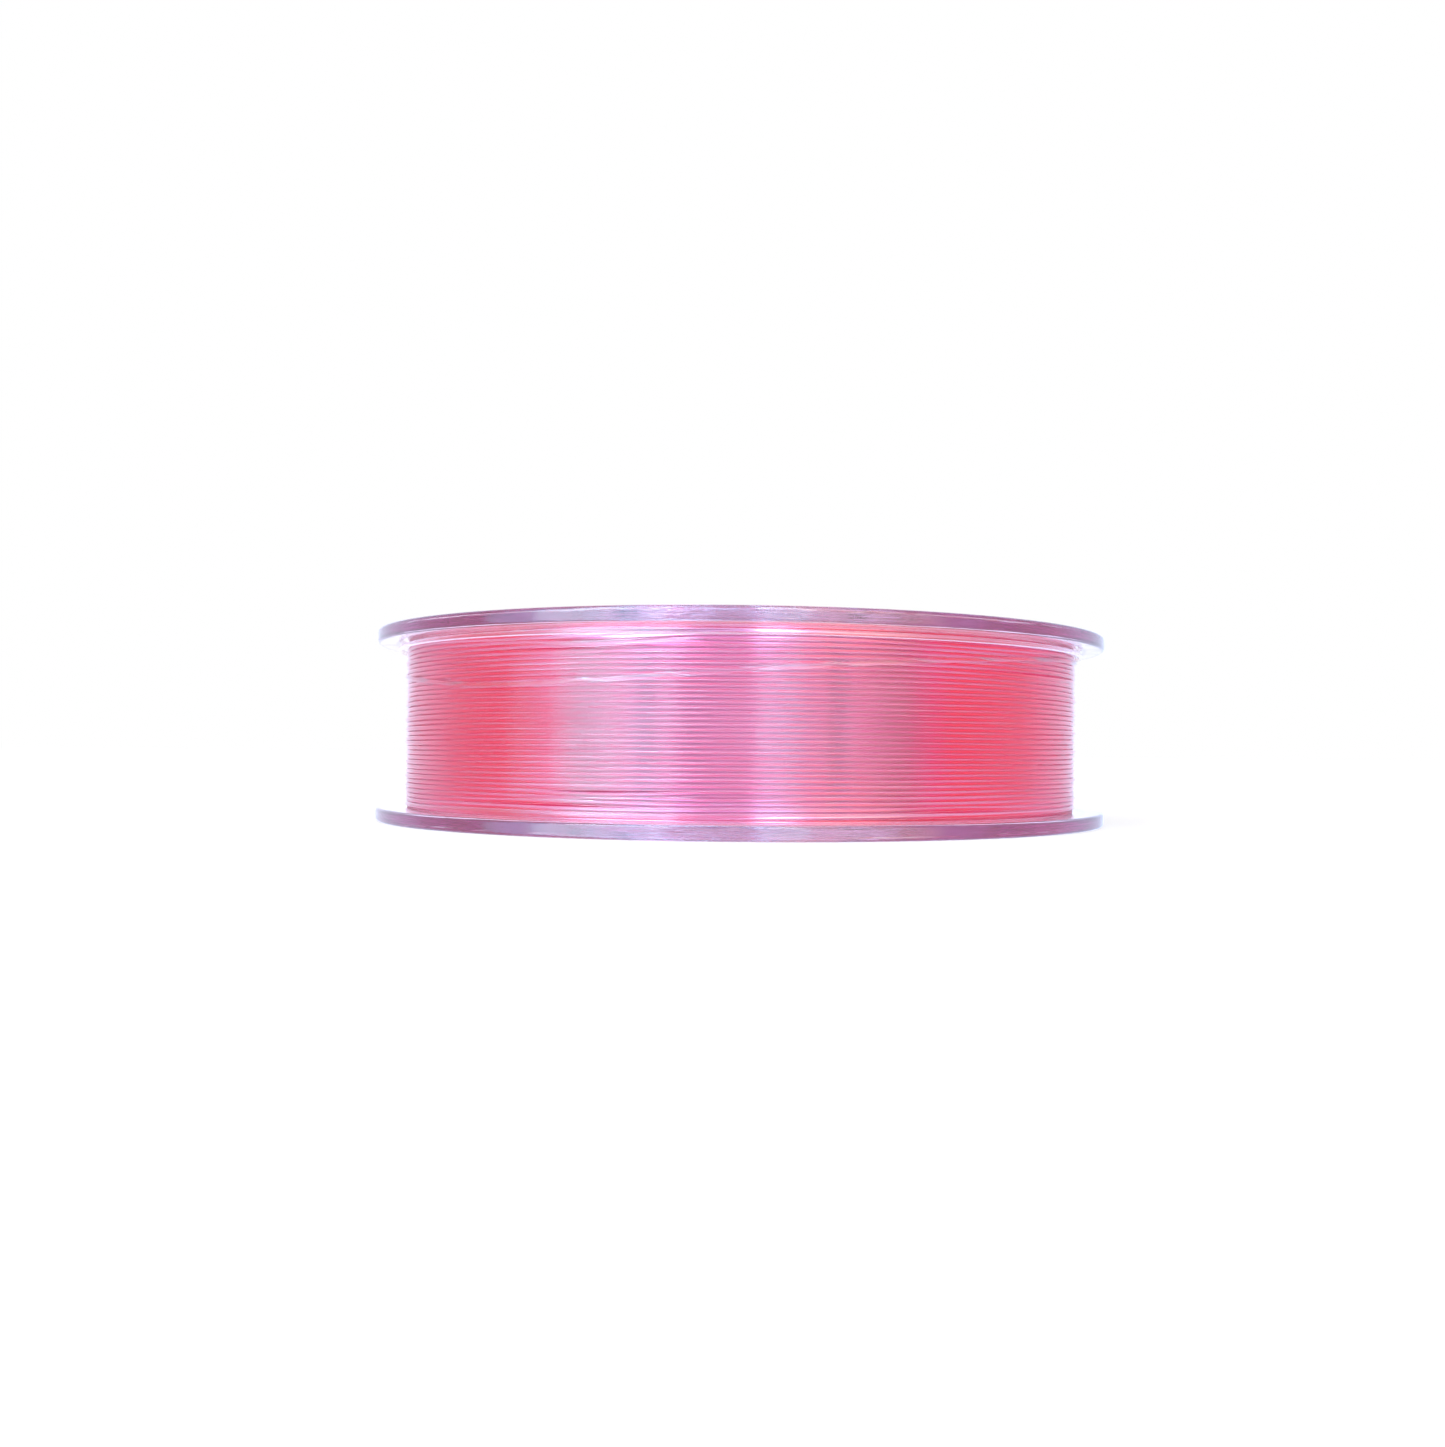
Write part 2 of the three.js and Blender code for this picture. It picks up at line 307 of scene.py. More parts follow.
def add_node(tree, kind, settings=None, values=None, links=None):
    """Adds a node, sets its options and sockets, and joins its inputs to other nodes' outputs."""
    node = tree.nodes.new(kind)
    for name, value in (settings or {}).items():
        setattr(node, name, value)
    for socket, value in (values or {}).items():
        node.inputs[socket].default_value = value
    for socket, output in (links or {}).items():
        tree.links.new(output, node.inputs[socket])
    return node


def new_material(name):
    """An empty material and its node tree."""
    material = bpy.data.materials.new(name)
    material.use_nodes = True
    material.node_tree.nodes.clear()
    return material, material.node_tree


def sent_on(tree, rays):
    """1 for a ray that gloss or a see-through surface sends on, and 0 for any other."""
    either = add_node(
        tree,
        "ShaderNodeMath",
        settings={"operation": "MAXIMUM"},
        links={0: rays["Is Glossy Ray"], 1: rays["Is Transmission Ray"]},
    )
    return either.outputs[0]


def notch_walls(tree, place, start, half_width):
    """1 on the walls of the notch, which starts at that radius, and 0 elsewhere."""
    outward = (math.cos(NOTCH_AZIMUTH), math.sin(NOTCH_AZIMUTH), 0)
    sideways = (-outward[1], outward[0], 0)
    along, across = (
        add_node(
            tree,
            "ShaderNodeVectorMath",
            settings={"operation": "DOT_PRODUCT"},
            values={1: way},
            links={0: place},
        ).outputs["Value"]
        for way in (outward, sideways)
    )
    past = add_node(
        tree,
        "ShaderNodeMath",
        settings={"operation": "GREATER_THAN"},
        values={1: start},
        links={0: along},
    )
    beside = add_node(
        tree,
        "ShaderNodeMath",
        settings={"operation": "COMPARE"},
        values={1: 0, 2: half_width},
        links={0: across},
    )
    both = add_node(
        tree,
        "ShaderNodeMath",
        settings={"operation": "MULTIPLY"},
        links={0: past.outputs[0], 1: beside.outputs[0]},
    )
    return both.outputs[0]


def clear_polystyrene(name, tint, density, skin_tint, roughness, notch=None):
    """Moulded clear polystyrene: a faint tint that gathers along the rim, and handling marks."""
    material, tree = new_material(name)
    place = add_node(tree, "ShaderNodeTexCoord").outputs["Object"]
    along_rim = add_node(
        tree,
        "ShaderNodeMapping",
        values={"Scale": [1 / size for size in MOULD_MARK]},
        links={"Vector": place},
    )
    flow = add_node(
        tree,
        "ShaderNodeTexNoise",
        values={"Scale": 1.0, "Detail": 2.0},
        links={"Vector": along_rim.outputs["Vector"]},
    )
    scuffs = add_node(
        tree,
        "ShaderNodeTexNoise",
        values={"Scale": 1 / SCUFF, "Detail": 2.0},
        links={"Vector": place},
    )
    gloss = add_node(
        tree,
        "ShaderNodeMapRange",
        values={"From Min": 0.45, "From Max": 0.75, "To Min": roughness[0], "To Max": roughness[1]},
        links={"Value": scuffs.outputs["Fac"]},
    )
    height = add_node(
        tree,
        "ShaderNodeBump",
        values={"Strength": 1.0, "Distance": RELIEF},
        links={"Height": flow.outputs["Fac"]},
    )
    shader = add_node(
        tree,
        "ShaderNodeBsdfPrincipled",
        values={"Base Color": (*skin_tint, 1), "IOR": POLYSTYRENE_IOR, "Transmission Weight": 1.0},
        links={"Roughness": gloss.outputs["Result"], "Normal": height.outputs["Normal"]},
    )
    if notch:
        # The walls of a cut slot are cloudy, unlike moulded faces.
        clearness = add_node(
            tree,
            "ShaderNodeMapRange",
            values={"To Min": 1.0, "To Max": CLOUDY_CLEARNESS},
            links={"Value": notch_walls(tree, place, *notch)},
        )
        tree.links.new(clearness.outputs["Result"], shader.inputs["Transmission Weight"])
    tinted = add_node(
        tree, "ShaderNodeVolumeAbsorption", values={"Color": (*tint, 1), "Density": density}
    )
    add_node(
        tree,
        "ShaderNodeOutputMaterial",
        links={"Surface": shader.outputs["BSDF"], "Volume": tinted.outputs["Volume"]},
    )
    return material


def monofilament(name, tint, ior, roughness, skin_tint):
    """Extruded see-through monofilament: a glossy skin, and a dye that gathers with depth."""
    material, tree = new_material(name)
    place = add_node(tree, "ShaderNodeTexCoord").outputs["Object"]
    skin = add_node(
        tree,
        "ShaderNodeTexNoise",
        values={"Scale": 1 / SKIN_MARK, "Detail": 2.0},
        links={"Vector": place},
    )
    gloss = add_node(
        tree,
        "ShaderNodeMapRange",
        values={"From Min": 0.3, "From Max": 0.7, "To Min": roughness[0], "To Max": roughness[1]},
        links={"Value": skin.outputs["Fac"]},
    )
    shader = add_node(
        tree,
        "ShaderNodeBsdfPrincipled",
        values={"Base Color": (*skin_tint, 1), "IOR": ior, "Transmission Weight": 1.0},
        links={"Roughness": gloss.outputs["Result"]},
    )
    dyed = add_node(
        tree, "ShaderNodeVolumeAbsorption", values={"Color": (*tint, 1), "Density": LINE_DENSITY}
    )
    add_node(
        tree,
        "ShaderNodeOutputMaterial",
        links={"Surface": shader.outputs["BSDF"], "Volume": dyed.outputs["Volume"]},
    )
    return material


def adhesive_film(name, tint):
    """Cast adhesive film: thin, pale and matte, with a slight grain from its glue."""
    material, tree = new_material(name)
    place = add_node(tree, "ShaderNodeTexCoord").outputs["Object"]
    grain = add_node(
        tree,
        "ShaderNodeTexNoise",
        values={"Scale": 1 / GLUE_GRAIN, "Detail": 4.0},
        links={"Vector": place},
    )
    height = add_node(
        tree,
        "ShaderNodeBump",
        values={"Strength": 0.4, "Distance": RELIEF},
        links={"Height": grain.outputs["Fac"]},
    )
    shade = add_node(
        tree,
        "ShaderNodeMix",
        settings={"data_type": "RGBA"},
        values={6: (*tint, 1), 7: (*[c * GRAIN_SHADE for c in tint], 1)},
        links={0: grain.outputs["Fac"]},
    )
    shader = add_node(
        tree,
        "ShaderNodeBsdfPrincipled",
        values={"Roughness": 0.5, "IOR": FILM_IOR, "Transmission Weight": 0.7},
        links={"Base Color": shade.outputs[2], "Normal": height.outputs["Normal"]},
    )
    add_node(tree, "ShaderNodeOutputMaterial", links={"Surface": shader.outputs["BSDF"]})
    return material


def matt_table(name, tint):
    """Matt painted table: pale and a little grainy. Gloss and clear plastic see past it."""
    material, tree = new_material(name)
    place = add_node(tree, "ShaderNodeTexCoord").outputs["Object"]
    grain = add_node(
        tree,
        "ShaderNodeTexNoise",
        values={"Scale": 1 / TABLE_GRAIN, "Detail": 3.0},
        links={"Vector": place},
    )
    height = add_node(
        tree,
        "ShaderNodeBump",
        values={"Strength": 0.1, "Distance": RELIEF},
        links={"Height": grain.outputs["Fac"]},
    )
    matt = add_node(
        tree,
        "ShaderNodeBsdfDiffuse",
        values={"Color": (*tint, 1)},
        links={"Normal": height.outputs["Normal"]},
    )
    rays = add_node(tree, "ShaderNodeLightPath").outputs
    lift = add_node(
        tree,
        "ShaderNodeMath",
        settings={"operation": "MULTIPLY"},
        values={1: FLOOR_LIFT},
        links={0: rays["Is Camera Ray"]},
    )
    glow = add_node(tree, "ShaderNodeEmission", links={"Strength": lift.outputs[0]})
    shaded = add_node(
        tree, "ShaderNodeAddShader", links={0: matt.outputs["BSDF"], 1: glow.outputs["Emission"]}
    )
    clear = add_node(tree, "ShaderNodeBsdfTransparent")
    shown = add_node(
        tree,
        "ShaderNodeMixShader",
        links={0: sent_on(tree, rays), 1: shaded.outputs[0], 2: clear.outputs["BSDF"]},
    )
    add_node(tree, "ShaderNodeOutputMaterial", links={"Surface": shown.outputs[0]})
    return material


def once(name, make, *values):
    """The material of that name, made at its first use."""
    return bpy.data.materials.get(name) or make(name, *values)


def plastic_material(context):
    """The flanges are polished, and their lilac shows a little even where the plastic is thin."""
    tints = context.scene.spool_colours
    sizes = context.scene.spool_plastic
    skin = tuple(tints.plastic_skin)
    notch = (sizes.notch_inner_radius - HAIR, sizes.notch_width / 2 + HAIR)
    values = (tints.plastic_tint, FLANGE_DENSITY, skin, POLISHED, notch)
    return once("clear_polystyrene", clear_polystyrene, *values)


def drum_material(context):
    """The drum's faces are frosted, so they scatter what shows through the line."""
    tint = context.scene.spool_colours.drum_tint
    return once("drum_polystyrene", clear_polystyrene, tint, DRUM_DENSITY, UNTINTED, FROSTED)


def strand_material(context):
    """The outer layer's turns are the plain line."""
    tint = context.scene.spool_colours.line_tint
    return once("pink_monofilament", monofilament, tint, STRAND_IOR, STRAND_SKIN, UNTINTED)


def end_material(context):
    """The end turns are tinted through their skin too: light leaves through one row of them."""
    tints = context.scene.spool_colours
    skin = tuple(tints.end_tint)
    return once("end_monofilament", monofilament, tints.line_tint, STRAND_IOR, END_SKIN, skin)


def layers_material(context):
    """Turns and the air between them bend light less than solid nylon does, and scatter it."""
    tint = context.scene.spool_colours.line_tint
    return once("wound_monofilament", monofilament, tint, LAYERS_IOR, LAYERS_SKIN, UNTINTED)


# ------------------------------------------------------------------ the pieces
class SPOOL_OT_camera(bpy.types.Operator):
    """Stand the camera where the photograph's was, close in front at half height"""

    bl_idname = "spool.camera"
    bl_label = "Camera"

    def execute(self, context):
        camera = bpy.data.cameras.new("camera")
        camera.sensor_width = SENSOR_WIDTH
        camera.lens = SENSOR_WIDTH * FOCAL_PIXELS / PHOTO_HEIGHT
        camera.shift_x = (PHOTO_WIDTH / 2 - OPTICAL_CENTRE[0]) / PHOTO_HEIGHT
        camera.shift_y = (OPTICAL_CENTRE[1] - PHOTO_HEIGHT / 2) / PHOTO_HEIGHT
        camera.clip_start = NEAREST_SEEN
        stand = bpy.data.objects.new("camera", camera)
        context.scene.collection.objects.link(stand)
        ahead = Vector((math.sin(CAMERA_YAW), math.cos(CAMERA_YAW), 0)) * math.cos(CAMERA_PITCH)
        ahead.z = math.sin(CAMERA_PITCH)
        level = Vector((math.cos(CAMERA_YAW), -math.sin(CAMERA_YAW), 0))
        upward = level.cross(ahead)
        right = math.cos(CAMERA_ROLL) * level - math.sin(CAMERA_ROLL) * upward
        up = math.sin(CAMERA_ROLL) * level + math.cos(CAMERA_ROLL) * upward
        pose = Matrix((right, up, -ahead)).transposed().to_4x4()
        pose.translation = Vector((0, -CAMERA_DISTANCE, CAMERA_HEIGHT))
        stand.matrix_world = pose
        context.scene.camera = stand
        return {"FINISHED"}


FLANGE_STEPS = 288
NOTCH_STEPS = 24
RIM_SEGMENTS = 5
SMALL_SEGMENTS = 2


def notch_cutter(sizes):
    """A slot with a round inner end, which runs out past the rim and above and below the flange."""
    past_rim = 4 * sizes.rim_width
    height = 3 * sizes.flange_thickness
    bm = bmesh.new()
    bmesh.ops.create_circle(bm, cap_ends=True, segments=NOTCH_STEPS, radius=sizes.notch_width / 2)
    everything = bm.verts[:] + bm.edges[:] + bm.faces[:]
    bmesh.ops.bisect_plane(
        bm, geom=everything, plane_co=(0, 0, 0), plane_no=(1, 0, 0), clear_outer=True
    )
    straight = [e for e in bm.edges if all(abs(v.co.x) < MERGE for v in e.verts)]
    out = bmesh.ops.extrude_edge_only(bm, edges=straight)
    moved = [g for g in out["geom"] if isinstance(g, bmesh.types.BMVert)]
    bmesh.ops.translate(bm, verts=moved, vec=(past_rim, 0, 0))
    tidy(bm)
    lifted = bmesh.ops.extrude_face_region(bm, geom=bm.faces[:])
    top = [g for g in lifted["geom"] if isinstance(g, bmesh.types.BMVert)]
    bmesh.ops.translate(bm, verts=top, vec=(0, 0, height))
    bmesh.ops.translate(
        bm,
        verts=bm.verts,
        vec=(sizes.notch_inner_radius + sizes.notch_width / 2, 0, -sizes.flange_thickness),
    )
    turn = Matrix.Rotation(NOTCH_AZIMUTH, 3, "Z")
    bmesh.ops.rotate(bm, verts=bm.verts, cent=(0, 0, 0), matrix=turn)
    tidy(bm)
    cutter = bpy.data.objects.new("cutter", mesh_of(bm))
    bpy.context.scene.collection.objects.link(cutter)
    return cutter


def flange_mesh(sizes):
    """A flange with its outer face down at z = 0."""
    rim = sizes.flange_radius
    recess_edge = rim - sizes.rim_width
    top = sizes.flange_thickness
    seat = top - sizes.seat_depth
    slope = sizes.recess_depth / 2
    profile = [
        (sizes.hole_radius, 0),
        (sizes.hub_ring_radius, 0),
        (sizes.hub_ring_radius + slope, sizes.recess_depth),
        (recess_edge - slope, sizes.recess_depth),
        (recess_edge, 0),
        (rim, 0),
        (rim, top),
        (sizes.seat_radius, top),
        (sizes.seat_radius, seat),
        (sizes.hole_radius, seat),
    ]
    bm = spun(profile, FLANGE_STEPS)
    at_rim = [e for e in sharp_edges(bm) if min(end_radii(e)) > recess_edge + HAIR]
    round_edges(bm, at_rim, sizes.rim_rounding, RIM_SEGMENTS)
    inside = [e for e in sharp_edges(bm) if max(end_radii(e)) < recess_edge + HAIR]
    round_edges(bm, inside, sizes.small_rounding, SMALL_SEGMENTS)
    tidy(bm)
    disc = bpy.data.objects.new("disc", mesh_of(bm))
    bpy.context.scene.collection.objects.link(disc)
    cutter = notch_cutter(sizes)
    cut = disc.modifiers.new("notch", "BOOLEAN")
    cut.operation = "DIFFERENCE"
    cut.solver = "EXACT"
    cut.object = cutter
    mesh = applied(disc)
    bpy.data.objects.remove(cutter)
    return mesh


class SPOOL_OT_flanges(bpy.types.Operator):
    """Mould both flanges, with their raised rims, sunk faces and notches"""

    bl_idname = "spool.flanges"
    bl_label = "Flanges"

    def execute(self, context):
        sizes = context.scene.spool_plastic
        material = plastic_material(context)
        laid = flange_mesh(sizes)
        lower = add_piece("lower_flange_moulding", laid, material, "lower_flange")
        turned = flange_mesh(sizes)
        turn = (
            Matrix.Translation((0, 0, SPOOL_HEIGHT))
            @ Matrix.Rotation(NOTCH_AZIMUTH, 4, "Z")
            @ Matrix.Rotation(math.pi, 4, "X")
            @ Matrix.Rotation(-NOTCH_AZIMUTH, 4, "Z")
        )
        turned.transform(turn)
        upper = add_piece(
            "upper_flange_moulding", turned, material, "upper_flange"
        )
        for flange in (lower, upper):
            even = flange.modifiers.new("flat faces stay flat", "WEIGHTED_NORMAL")
            even.keep_sharp = True
        return {"FINISHED"}


def arc(centre, radius, start, end, steps):
    """Points on an arc."""
    angles = [start + (end - start) * i / steps for i in range(steps + 1)]
    return [(centre[0] + radius * math.cos(a), centre[1] + radius * math.sin(a)) for a in angles]


DRUM_STEPS = 240
BORE_STEPS = 120
POCKET_BORE_STEPS = 8
POCKET_WALL_STEPS = 20
FILLET_STEPS = 6


def pocket_outline(sizes):
    """Half of the space between two spokes: from the middle of the pocket to the spoke and back."""
    inner = sizes.bore_radius + sizes.bore_wall
    outer = sizes.drum_radius - sizes.drum_wall
    fillet = sizes.spoke_fillet
    away = sizes.spoke_thickness / 2 + fillet
    middle = math.pi / sizes.spoke_count
    near = (math.sqrt((inner + fillet) ** 2 - away**2), away)
    far = (math.sqrt((outer - fillet) ** 2 - away**2), away)
    near_angle = math.atan2(near[1], near[0])
    far_angle = math.atan2(far[1], far[0])
    points = arc((0, 0), inner, middle, near_angle, POCKET_BORE_STEPS)
    points += arc(near, fillet, near_angle + math.pi, 1.5 * math.pi, FILLET_STEPS)[1:]
    points += arc(far, fillet, -math.pi / 2, far_angle, FILLET_STEPS)
    points += arc((0, 0), outer, far_angle, middle, POCKET_WALL_STEPS)[1:]
    return points


class SPOOL_OT_drum(bpy.types.Operator):
    """Mould the drum that the line is wound on, with its spokes and bore tube"""

    bl_idname = "spool.drum"
    bl_label = "Spoked drum"

    def execute(self, context):
        sizes = context.scene.spool_plastic
        curve = bpy.data.curves.new("section", "CURVE")
        curve.dimensions = "2D"
        curve.fill_mode = "BOTH"
        curve.extrude = (DRUM_HIGH.z - DRUM_LOW.z) / 2
        half = pocket_outline(sizes)
        pitch = FULL_TURN / sizes.spoke_count
        mirror = [
            (x * math.cos(pitch) + y * math.sin(pitch), x * math.sin(pitch) - y * math.cos(pitch))
            for x, y in half
        ]
        pocket = half + mirror[::-1][1:-1]
        outlines = [arc((0, 0), sizes.drum_radius, 0, FULL_TURN, DRUM_STEPS)[:-1]]
        outlines.append(arc((0, 0), sizes.bore_radius, 0, FULL_TURN, BORE_STEPS)[:-1])
        for spoke in range(sizes.spoke_count):
            turn = FRONT + pitch * (spoke + 0.5)
            c, s = math.cos(turn), math.sin(turn)
            outlines.append([(x * c - y * s, x * s + y * c) for x, y in pocket])
        for outline in outlines:
            spline = curve.splines.new("POLY")
            spline.points.add(len(outline) - 1)
            spline.points.foreach_set("co", [v for x, y in outline for v in (x, y, 0, 1)])
            spline.use_cyclic_u = True
        shape = bpy.data.objects.new("section", curve)
        context.scene.collection.objects.link(shape)
        mesh = applied(shape)
        bm = bmesh.new()
        bm.from_mesh(mesh)
        bmesh.ops.translate(bm, verts=bm.verts, vec=(0, 0, (DRUM_HIGH.z + DRUM_LOW.z) / 2))
        tidy(bm)
        bm.to_mesh(mesh)
        bm.free()
        add_piece("spoked_drum", mesh, drum_material(context), "hub_drum")
        return {"FINISHED"}


GLUE = 0.03 * MM  # between the drum and the tape
TAPE_STEPS = 16
TAPE_AZIMUTH = math.pi / 2  # where the tape's middle lies, at the back


class SPOOL_OT_tape(bpy.types.Operator):
    """Stick the start of the line to the drum with a strip of film"""

    bl_idname = "spool.tape"
    bl_label = "Start tape"

    def execute(self, context):
        sizes = context.scene.spool_line
        inner = context.scene.spool_plastic.drum_radius + GLUE
        outer = inner + sizes.tape_thickness
        bottom = (SPOOL_HEIGHT - sizes.tape_width) / 2
        top = bottom + sizes.tape_width
        bm = bmesh.new()
        corners = ((inner, bottom), (outer, bottom), (outer, top), (inner, top))
        face = bm.faces.new([bm.verts.new((r, 0, z)) for r, z in corners])
        swept = sizes.tape_length / outer
        start = Matrix.Rotation(TAPE_AZIMUTH - swept / 2, 3, "Z")
        bmesh.ops.rotate(bm, verts=bm.verts, cent=(0, 0, 0), matrix=start)
        bmesh.ops.spin(
            bm,
            geom=[face, *face.verts, *face.edges],
            cent=(0, 0, 0),
            axis=(0, 0, 1),
            angle=swept,
            steps=TAPE_STEPS,
        )
        tidy(bm)
        material = once("adhesive_film", adhesive_film, context.scene.spool_colours.tape)
        add_piece("start_tape_film", mesh_of(bm), material, "start_tape")
        return {"FINISHED"}


LAYERS_STEPS = 288
END_TURN_STEPS = 144
END_TURN_SIDES = 8


def side_turn_radii(context):
    """Radii of the end turns of every layer under the outer one, from the drum outwards."""
    line = context.scene.spool_line
    first = context.scene.spool_plastic.drum_radius + line.drum_gap + line.line_diameter / 2
    last = line.winding_radius - line.line_diameter * 1.5
    count = int((last - first) / line.line_diameter)
    return [first + (last - first) * i / count for i in range(count + 1)]


class SPOOL_OT_under_layers(bpy.types.Operator):
    """Wind all the layers under the outer one, with the end turns that lie against the flanges"""

    bl_idname = "spool.under_layers"
    bl_label = "Layers under the outer one"

    def execute(self, context):
        line = context.scene.spool_line
        inner = context.scene.spool_plastic.drum_radius + line.drum_gap
        outer = line.layers_radius
        bottom = LINE_BOTTOM + line.layers_gap
        top = LINE_TOP - line.layers_gap
        bm = spun([(inner, bottom), (outer, bottom), (outer, top), (inner, top)], LAYERS_STEPS)
        material = layers_material(context)
        add_piece("line_under_layers", mesh_of(bm), material, "line_inner_layers")
        radius = line.line_diameter / 2
        paths = [
            [(x, y, height) for x, y in arc((0, 0), reach, 0, FULL_TURN, END_TURN_STEPS)[:-1]]
            for height in (LINE_BOTTOM + radius, LINE_TOP - radius)
            for reach in side_turn_radii(context)
        ]
        # Neighbours lie a diameter apart, so each is drawn a hair thinner than the line.
        mesh = strands("line_side_turns", paths, radius - HAIR / 4, END_TURN_SIDES, closed=True)
        add_piece("line_side_turns", mesh, end_material(context), "line_inner_layers")
        return {"FINISHED"}


TURN_STEPS = 96
BEND_STEPS = 12
STRAND_SIDES = 24
LUMPS_PER_TURN = 5
SEED = 5
PHASES_DRAWN = 6  # a few more than the waves take, so waves can be added and the lumps stay
# How the turns wander: waves in a turn, share of the waviness, and drift from turn to turn
WAVES = ((3, 1.0, 0.25), (7, 0.7, 0.4))

# How the last turns lie: degrees past the notch in the layer's last full turn, and height and
# radius in mm
LAST_TURNS = (
    (0, 16.12, 32.085),
    (22, 15.40, 32.31),
    (70, 13.60, 32.24),
    (110, 11.95, 32.22),
    (131, 12.15, 32.32),
    (174, 13.82, 32.29),
    (212, 15.00, 32.25),
    (250, 15.45, 32.38),
    (330, 15.55, 32.60),
    (372, 15.80, 32.90),
    (480, 15.88, 32.90),
    (540, 15.80, 32.85),
    (600, 15.90, 32.80),
    (690, 15.85, 32.55),
)

# Turns that stray from their seats: turn, degrees past the notch, half the stray length in
# degrees, and rise in mm
STRAY_TURNS = (
    (33, 118, 22, -0.20),
    (32, 131, 16, -0.24),
    (31, 142, 12, 0.16),
    (30, 125, 14, -0.12),
    (32, 190, 30, -0.12),
    (2, 125, 20, 0.16),
    (3, 150, 12, -0.14),
    (4, 134, 14, -0.16),
    (1, 185, 14, 0.14),
    (27, 205, 25, -0.10),
)


def eased(rows, column, place):
    """A smooth curve through one column of the rows, whose first column is the place."""
    padded = (rows[0], *rows, rows[-1])
    for before, start, end, after in zip(padded, padded[1:], padded[2:], padded[3:]):
        if place <= end[0]:
            break
    span = end[0] - start[0]
    part = (place - start[0]) / span
    leave = (end[column] - before[column]) / (end[0] - before[0]) * span
    arrive = (after[column] - start[column]) / (after[0] - start[0]) * span
    rest = 1 - part
    return (
        start[column] * rest * rest * (1 + 2 * part)
        + end[column] * part * part * (1 + 2 * rest)
        + leave * part * rest * rest
        - arrive * part * part * rest
    )


def stray(turn):
    """How far a stray turn lifts off its seat and how far out its neighbours push it."""
    for seat, middle, half, rise in STRAY_TURNS:
        off = abs(turn - seat - middle / 360) * 360 / half
        if off < 1:
            up = rise * MM * (1 - off * off) ** 2
            return up, abs(up) / 2
    return 0, 0


def outer_path(context):
    """Points along the outer layer: its turns, the crossing turn, the loose turn and the tail."""
    line = context.scene.spool_line
    radius = line.line_diameter / 2
    layer_radius = line.winding_radius - radius
    first = LINE_BOTTOM + radius
    last = LINE_TOP - radius
    pitch = (last - first) / line.turns
    draw = random.Random(SEED)
    phases = [draw.uniform(0, FULL_TURN) for _ in range(PHASES_DRAWN)]
    lumps = [draw.random() ** 3 for _ in range(line.turns * LUMPS_PER_TURN + 2)]  # most are small
    points = []
    for step in range(line.turns * TURN_STEPS):
        turn = step / TURN_STEPS
        azimuth = FULL_TURN * turn + NOTCH_AZIMUTH
        rise = line.waviness * sum(
            share * math.sin(waves * azimuth + phase + drift * turn)
            for (waves, share, drift), phase in zip(WAVES, phases)
        )
        up, out = stray(turn)
        lump, part = divmod(turn * LUMPS_PER_TURN, 1)
        part = part * part * (3 - 2 * part)  # eases from one lump to the next
        swell = line.lumpiness * (lumps[int(lump)] * (1 - part) + lumps[int(lump) + 1] * part)
        reach = layer_radius + swell + out
        ends = min(1, turn, line.turns - turn)
        height = first + pitch * turn + rise * ends + up
        points.append((reach * math.cos(azimuth), reach * math.sin(azimuth), height))
    place = 0
    while place < LAST_TURNS[-1][0]:
        azimuth = math.radians(place) + NOTCH_AZIMUTH
        height = eased(LAST_TURNS, 1, place) * MM
        reach = eased(LAST_TURNS, 2, place) * MM
        points.append((reach * math.cos(azimuth), reach * math.sin(azimuth), height))
        place += 360 / TURN_STEPS
    # The tail turns up through the notch and ends in the sunk face.
    _, level, reach = LAST_TURNS[-1]
    level, reach = level * MM, reach * MM
    bend = line.bend_radius
    along = (-math.sin(NOTCH_AZIMUTH), math.cos(NOTCH_AZIMUTH))
    base = (reach * math.cos(NOTCH_AZIMUTH), reach * math.sin(NOTCH_AZIMUTH))
    for step in range(BEND_STEPS + 1):
        angle = math.pi / 2 * step / BEND_STEPS
        back = bend * (math.sin(angle) - 1)
        height = level + bend * (1 - math.cos(angle))
        points.append((base[0] + along[0] * back, base[1] + along[1] * back, height))
    points.append((*base, SPOOL_HEIGHT - context.scene.spool_plastic.recess_depth))
    return points


class SPOOL_OT_outer_layer(bpy.types.Operator):
    """Wind the outer layer, with the turns that cross it and its tail in the notch"""

    bl_idname = "spool.outer_layer"
    bl_label = "Outer layer"

    def execute(self, context):
        radius = context.scene.spool_line.line_diameter / 2
        mesh = strands("line_outer_turns", [outer_path(context)], radius, STRAND_SIDES)
        material = strand_material(context)
        add_piece("line_outer_turns", mesh, material, "line_outer_layer")
        return {"FINISHED"}


# ------------------------------------------------------------------ floor and light
# Panels of light that stand round the spool and show in its gloss alone, as tall as the room:
# degrees left of the camera, reach to either side, blur of the edges, and the light that they add
PANELS = (
    (25.0, 52.0, 8.0, (0.08, 0.60, 1.25)),
    (42.65, 20.15, 1.0, (1.1, 2.6, 3.0)),
    (52.0, 10.0, 6.0, (1.0, 2.2, 2.4)),
    (72.0, 9.0, 2.0, (0.0, 1.1, 1.3)),
    (-12.45, 7.25, 0.7, (0.8, 2.4, 3.0)),
    (-40.0, 15.0, 10.0, (1.3, 1.3, 0.9)),
    (140.0, 25.0, 10.0, (0.28, 0.35, 0.7)),
    (-140.0, 25.0, 10.0, (0.15, 0.3, 0.7)),
)
